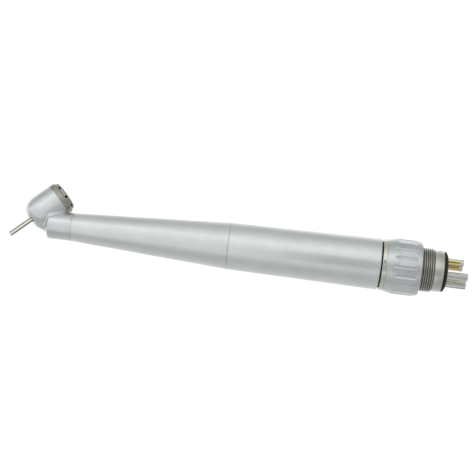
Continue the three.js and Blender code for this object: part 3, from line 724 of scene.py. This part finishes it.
def front_ring():
    """The thin front ring, with one shallow oval bowl for a pin spanner."""
    obj = revolve("front_ring", soften([
        (FRONT_RING_FRONT, 5.72), (FRONT_RING_FRONT, 8.72), (FRONT_RING_FRONT + 0.14, 8.82),
        (FRONT_RING_REAR - 0.04, FRONT_RING_R), (FRONT_RING_REAR, 8.82), (FRONT_RING_REAR, 5.72),
    ], 0.1, 4), 192)
    way = out_of_body(SPANNER_BOWL)
    place = np.eye(4)
    place[:3, :3] = np.stack([way, [1, 0, 0], np.cross(way, [1, 0, 0])], -1)
    place[:3, :3] *= [1, 0.36, 1.0]
    place[:3, 3] = [SPANNER_BOWL_X, 0, 0]
    bowl = [(FRONT_RING_R - 0.3 * math.cos(t), 1.25 * math.sin(t)) for t in np.linspace(0, math.pi, 17)]
    return carve(obj, [revolve("bowl", bowl, 48, place)])


def in_bowl(p):
    """Whether a face centre of the front ring lies in its bowl, which gets painted shade."""
    below_skin = math.hypot(p[1], p[2]) < FRONT_RING_R - 0.06
    return below_skin and abs(p[0] - SPANNER_BOWL_X) < 0.45 and p[1] < -8 and abs(p[2]) < 2


dress(front_ring(), "coupler", "coupler_front_ring", CHAMPAGNE, 34, in_bowl, BOWL_SHADE)


def release_radius(x, r, a):
    """Flats between pointed grooves on the outside of the release ring."""
    pitch = 2 * math.pi / FLUTES
    off = a % pitch - pitch / 2
    outside = r > 8.8
    reach = np.clip((x + 18.9) / 1.9, 0, 1) * np.clip((-10.75 - x) / 0.35, 0, 1)
    width = 0.062 * np.sqrt(np.clip(reach, 0, 1)) + 1e-4
    groove = np.clip(1 - np.abs(off) / width, 0, 1)
    groove = 0.42 * reach * groove * (2 - groove) * np.clip(reach * 4, 0, 1)
    flat_x = np.clip((x + 17.8) / 1.3, 0, 1) * np.clip((-10.1 - x) / 0.3, 0, 1)
    flat_x = flat_x * flat_x * (3 - 2 * flat_x)
    flat = FLAT_R / np.cos(np.abs(off) - pitch / 2)
    return np.where(outside, r - flat_x * np.clip(r - flat, 0, None) - groove, r)


def release_profile():
    """The ring's outline in fine steps, smoothed, with the two bores behind it."""
    outer = [(RELEASE_FRONT, 8.86), (-20.84, 8.96), (-19.9, 9.16), (-18.9, 9.40), (-17.9, 9.57),
             (-16.9, 9.67), (-15.9, 9.705), (-14, 9.70), (-12.6, 9.66), (-11.4, 9.56), (-10.4, 9.42),
             (-9.6, 9.26), (-9.21, 9.16), (RELEASE_REAR, 9.02)]
    fine_x = np.concatenate([[RELEASE_FRONT], np.linspace(-20.84, -9.21, 130), [RELEASE_REAR]])
    fine_r = np.interp(fine_x, [p[0] for p in outer], [p[1] for p in outer])
    kernel = np.array([1, 4, 6, 4, 1]) / 16
    for _ in range(12):
        fine_r[4:-4] = np.convolve(fine_r, kernel, "same")[4:-4]
    return [(RELEASE_FRONT, 7.25), *zip(fine_x, fine_r), (RELEASE_REAR, 8.45), (-16.9, 8.45),
            (-16.9, 7.25)]


dress(revolve("fluted_ring", release_profile(), FLUTES * 32, radius=release_radius), "release_ring",
      "release_ring", RING, 40)

dress(revolve("stop_ring", soften([
    (-10.1, 6.75), (-10.1, 8.32), (-9.4, 8.32), (-9.4, 6.75),
], 0.1, 3), 160), "coupler", "release_stop_ring", STEEL)
# The spring rests on the stop ring and gives way as the release ring is drawn back.
release_coil = spring("release_coil", radius=7.5, wire=0.32, start=-16.74, end=-10.26, turns=4)
dress(release_coil, "coupler", "release_spring", STEEL)
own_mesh(release_coil)


def thread_radius(x, r, a):
    """The external thread as a helical saw-tooth inside its chamfered envelope."""
    phase = (x / THREAD_PITCH - a / (2 * math.pi)) % 1.0
    tooth = np.clip(1.25 - np.abs(phase - 0.5) * 2.9, 0, 1)
    tooth = tooth * tooth * (3 - 2 * tooth)
    chamfers = np.minimum(7.08 + (x - THREAD_FRONT) * 1.6, 7.13 + (THREAD_REAR - x) * 1.1)
    wound = np.minimum(THREAD_ROOT + (THREAD_CREST - THREAD_ROOT) * tooth,
                       np.minimum(THREAD_CREST, chamfers))
    return np.where((r > 6.7) & (x > THREAD_FRONT - 0.04) & (x < THREAD_REAR + 0.04), wound, r)


def tube_holes(start, end):
    """Cutters for the four tubes' holes, from one place on the body axis to another."""
    return [cylinder(r + TUBE_PLAY, (start, y, z), (end, y, z), 48) for r, _, _, y, z in TUBES.values()]


def coupler_core():
    """The coupler's body: guide for the release ring, external thread, and plain collar."""
    core_profile = [
        (-12, 0), (-12, 4.65), (-20.9, 4.65), (-20.9, 6.9), (-20.8, 7.0), (-16.9, 7.0), (-16.9, 6.65),
        (-9.15, 6.65), *[(x, 7.2) for x in np.linspace(THREAD_FRONT, THREAD_REAR, 220)], (-4.6, 6.9),
        (-4.55, COLLAR_R - 0.02), (-4.4, COLLAR_R), (GASKET_FRONT - 0.2, COLLAR_R),
        (GASKET_FRONT - 0.05, COLLAR_R - 0.08), (GASKET_FRONT, COLLAR_R - 0.2), (GASKET_FRONT, 0),
    ]
    obj = revolve("coupler_core", core_profile, 192, radius=thread_radius)
    way, foot = out_of_body(LOCATING_HOLE), [LOCATING_HOLE_X, 0, 0]
    locating = cylinder(0.45, way * 6.2 + foot, way * 7.5 + foot, 32)
    return carve(obj, [locating, *tube_holes(-8.1, 0)])


dress(coupler_core(), "coupler", "coupler_body", COLLAR, 40,
      lambda p: p[0] < COLLAR_FRONT + 0.01, THREAD)

gasket = revolve("gasket", soften([
    (GASKET_FRONT + 0.05, 0), (GASKET_FRONT + 0.05, 6.87), (-0.55, 6.87), (-0.1, 6.1), (0, 5.9), (0, 0),
], 0.16, 4), 192)
carve(gasket, tube_holes(-3, 1))
dress(gasket, "coupler", "hose_gasket", BLACK)

for node, (r_out, r_in, end, y, z) in TUBES.items():
    tube = revolve(node.replace("_connector", ""), soften([
        (TUBE_FRONT, r_in), (TUBE_FRONT, r_out), (end, r_out), (end, r_in),
    ], 0.14, 4), 72, offset=(y, z))
    dress(tube, "coupler", node, GOLD if end < 6 else POLISHED_PAINTED_REFLECTION)


def lock_ball(k, way):
    """One steel ball, seated in its hole in the nipple, in the direction given."""
    mesh = bpy.data.meshes.new("lock")
    bm = bmesh.new()
    bmesh.ops.create_uvsphere(bm, u_segments=32, v_segments=20, radius=LOCK_BALL_R * 0.001)
    bm.to_mesh(mesh)
    bm.free()
    obj = bpy.data.objects.new(f"steel_ball_{k}", mesh)
    bpy.context.collection.objects.link(obj)
    mesh.transform(Matrix.Translation(Vector((way * 5.18 + [LOCK_BALL_X, 0, 0]) * 0.001)))
    dress(obj, "coupler", f"lock_ball_{k}", POLISHED_PAINTED_REFLECTION)


def nipple():
    """The coupler's plug: three rubber ring grooves, air and water ways, and holes for the balls."""
    profile = [(-57, 0), (-57, 4.7), (-56.4, 5.2)]
    for x in O_RINGS:
        profile += [(x - 0.5, 5.2), (x - 0.5, 4.62), (x + 0.5, 4.62), (x + 0.5, 5.2)]
    profile += [(-30.8, 5.2), (-30.3, 5.6), (-20.9, 5.6), (-20.9, 4.5), (-12.2, 4.5), (-12.2, 0)]
    obj = revolve("nipple", soften(profile, 0.1, 3), 128)
    ways = [
        cylinder(1.3, (-58, -1.9, -1), (-40, -1.9, -1)),
        cylinder(1.3, (-58, 1.3, -2.3), (-40, 1.3, -2.3)),
        cylinder(0.45, (-50, -0.9, 3.3), (-50, -0.9, 6)),
        cylinder(0.45, (-44, 0.75, 2), (-44, 0.75, 6)),
    ]
    for k in range(LOCK_BALLS):
        way = out_of_body(2 * math.pi * k / LOCK_BALLS)
        foot = [LOCK_BALL_X, 0, 0]
        ways.append(cylinder(0.8, way * 4.5 + foot, way * 6 + foot, 32))
        lock_ball(k + 1, way)
    return carve(obj, ways)


dress(nipple(), "coupler", "coupler_nipple", STEEL, 34)
for k, x in enumerate(O_RINGS):
    circle = [(x + 0.35 * math.cos(t), 5.07 + 0.35 * math.sin(t))
              for t in np.linspace(0, 2 * math.pi, 20, endpoint=False)]
    dress(revolve(f"o_ring_{k + 1}", circle, 128), "coupler", f"nipple_o_ring_{k + 1}", BLACK)

# ---- CAD pieces shown as they are -------------------------------------------------------------
INSIDE = {
    "cartridge_sleeve": HEAD_STEEL, "front_bearing_outer_ring": HEAD_STEEL,
    "rear_bearing_outer_ring": HEAD_STEEL, "front_bearing_o_ring": BLACK,
    "rear_bearing_o_ring": BLACK, "wave_washer": HEAD_STEEL,
    "front_bearing_inner_ring": HEAD_STEEL, "rear_bearing_inner_ring": HEAD_STEEL,
    "front_ball_cage": CERAMIC, "rear_ball_cage": CERAMIC, "turbine_wheel": TURBINE,
    "chuck_collet": HEAD_STEEL, "chuck_pusher": HEAD_STEEL, "drive_air_pipe": STEEL,
    "water_pipe": GOLD, "chip_air_pipe": STEEL, "non_return_valve": BLACK,
}
for node, material in INSIDE.items():
    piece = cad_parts[node]
    piece.data.materials.clear()
    piece.data.materials.append(material)


# ---- stage ------------------------------------------------------------------------------------
def studio_world():
    """White to the camera; to the metal, a soft studio that is bright above and darker below."""
    world = bpy.data.worlds.new("studio")
    bpy.context.scene.world = world
    world.use_nodes = True
    tree = world.node_tree
    tree.nodes.clear()
    new, link = tree.nodes.new, tree.links.new
    place = new("ShaderNodeTexCoord")
    level = new("ShaderNodeVectorRotate")
    level.rotation_type = "X_AXIS"
    level.inputs["Angle"].default_value = -TURN
    link(place.outputs["Generated"], level.inputs["Vector"])
    split = new("ShaderNodeSeparateXYZ")
    link(level.outputs["Vector"], split.inputs[0])
    toward = new("ShaderNodeMath")
    toward.operation = "MULTIPLY"
    toward.inputs[1].default_value = -1.0
    link(split.outputs["Y"], toward.inputs[0])
    angle = new("ShaderNodeMath")
    angle.operation = "ARCTAN2"
    link(split.outputs["Z"], angle.inputs[0])
    link(toward.outputs[0], angle.inputs[1])
    turn = new("ShaderNodeMapRange")
    turn.inputs["From Min"].default_value = -math.pi
    turn.inputs["From Max"].default_value = math.pi
    link(angle.outputs[0], turn.inputs["Value"])
    ramp = new("ShaderNodeValToRGB")
    # Brightness by the angle round the body: 0 faces the camera, 90 is above and -90 below.
    stops = [(-180, 1.10), (-145, 0.80), (-115, 0.62), (-88, 0.58), (-60, 0.42), (-36, 0.88),
             (-5, 0.76), (35, 1.08), (62, 0.86), (98, 0.44), (125, 0.60), (150, 0.90), (180, 1.10)]
    elements = ramp.color_ramp.elements
    ramp.color_ramp.interpolation = "B_SPLINE"
    for i, (degrees, light) in enumerate(stops):
        e = elements[i] if i < 2 else elements.new((degrees + 180) / 360)
        e.position = (degrees + 180) / 360
        e.color = (light * 0.98, light, light * 0.995, 1)
    link(turn.outputs["Result"], ramp.inputs["Fac"])
    rearward = new("ShaderNodeMapRange")
    for key, value in (("From Min", 0.1), ("From Max", 0.9), ("To Min", 1.0), ("To Max", 0.68)):
        rearward.inputs[key].default_value = value
    link(split.outputs["X"], rearward.inputs["Value"])
    lit = new("ShaderNodeBackground")
    link(ramp.outputs["Color"], lit.inputs["Color"])
    link(rearward.outputs["Result"], lit.inputs["Strength"])
    seen = new("ShaderNodeBackground")
    seen.inputs["Color"].default_value = (1, 1, 1, 1)
    seen.inputs["Strength"].default_value = 1.05
    path = new("ShaderNodeLightPath")
    mix = new("ShaderNodeMixShader")
    link(path.outputs["Is Camera Ray"], mix.inputs["Fac"])
    link(lit.outputs[0], mix.inputs[1])
    link(seen.outputs[0], mix.inputs[2])
    out = new("ShaderNodeOutputWorld")
    link(mix.outputs[0], out.inputs["Surface"])


def matt(name, color, glow, strength, rough):
    """A surface of the stage: no highlights, and a light of its own."""
    s = Shader(name)
    s.bsdf.inputs["Base Color"].default_value = (*color, 1)
    s.bsdf.inputs["Roughness"].default_value = rough
    s.bsdf.inputs["Specular IOR Level"].default_value = 0.0
    s.bsdf.inputs["Emission Color"].default_value = (*glow, 1)
    s.bsdf.inputs["Emission Strength"].default_value = strength
    return s.material


def area_light(name, place, target, size, power):
    """A rectangular lamp in metres; its place turns with the camera."""
    light = bpy.data.lights.new(name, "AREA")
    light.shape = "RECTANGLE"
    light.size, light.size_y = size
    light.energy = power
    obj = bpy.data.objects.new(name, light)
    bpy.context.collection.objects.link(obj)
    obj.location = COUPLER_TURN @ Vector(place)
    obj.rotation_euler = (Vector(target) - obj.location).to_track_quat("-Z", "Y").to_euler()


studio_world()
area_light("key", (-0.30, -0.45, 0.42), (-0.08, 0, 0), (0.35, 0.22), 0.04)
area_light("rim", (0.10, 0.45, 0.35), (-0.07, 0, 0), (0.5, 0.2), 0.08)

# A grey card beside the camera, which the rear of the barrel mirrors as a darker band.
card = mesh_object("card", [(-62, -105, -54), (70, -105, -54), (70, -105, 24), (-62, -105, 24)],
                   [(0, 1, 2, 3)])
card.data.transform(COUPLER_TURN)
card.data.materials.append(matt("grey_card", (0.0, 0.0, 0.0), (0.49, 0.50, 0.50), 1.0, 0.5))
card.visible_camera = False
card.visible_shadow = False

corners = [(-1, -1), (1, -1), (1, 1), (-1, 1)]
floor = mesh_object("floor", [(x * FLOOR_REACH, y * FLOOR_REACH, FLOOR_LEVEL) for x, y in corners],
                    [(0, 1, 2, 3)])
floor.data.materials.append(matt("pale_floor", (0.9, 0.9, 0.9), (1, 1, 1), 0.6, 1.0))
floor.visible_glossy = False
floor.visible_diffuse = False
floor.visible_shadow = False

# ---- camera -----------------------------------------------------------------------------------
LEAN = math.radians(6.88)               # the picture is turned by this about its middle
ASIDE = math.radians(2.4)               # the camera stands this far behind square
DISTANCE = 0.400
aim = COUPLER_TURN @ Vector((-0.0730, 0.0, 0.00346))
camera_data = bpy.data.cameras.new("camera")
camera_data.lens = 87.3
camera_data.sensor_width = 36.0
camera_data.clip_start = 0.01
camera = bpy.data.objects.new("camera", camera_data)
bpy.context.collection.objects.link(camera)
back = COUPLER_TURN @ Vector((math.sin(ASIDE), -math.cos(ASIDE), 0.0))
across = COUPLER_TURN @ Vector((math.cos(ASIDE), math.sin(ASIDE), 0.0))
right = across * math.cos(LEAN) + COUPLER_TURN @ Vector((0, 0, math.sin(LEAN)))
above = back.cross(right)
eye = aim + back * DISTANCE
camera.matrix_world = Matrix([(right[i], above[i], back[i], eye[i]) for i in range(3)] + [(0, 0, 0, 1)])
bpy.context.scene.camera = camera
bpy.context.scene.view_settings.view_transform = "Standard"
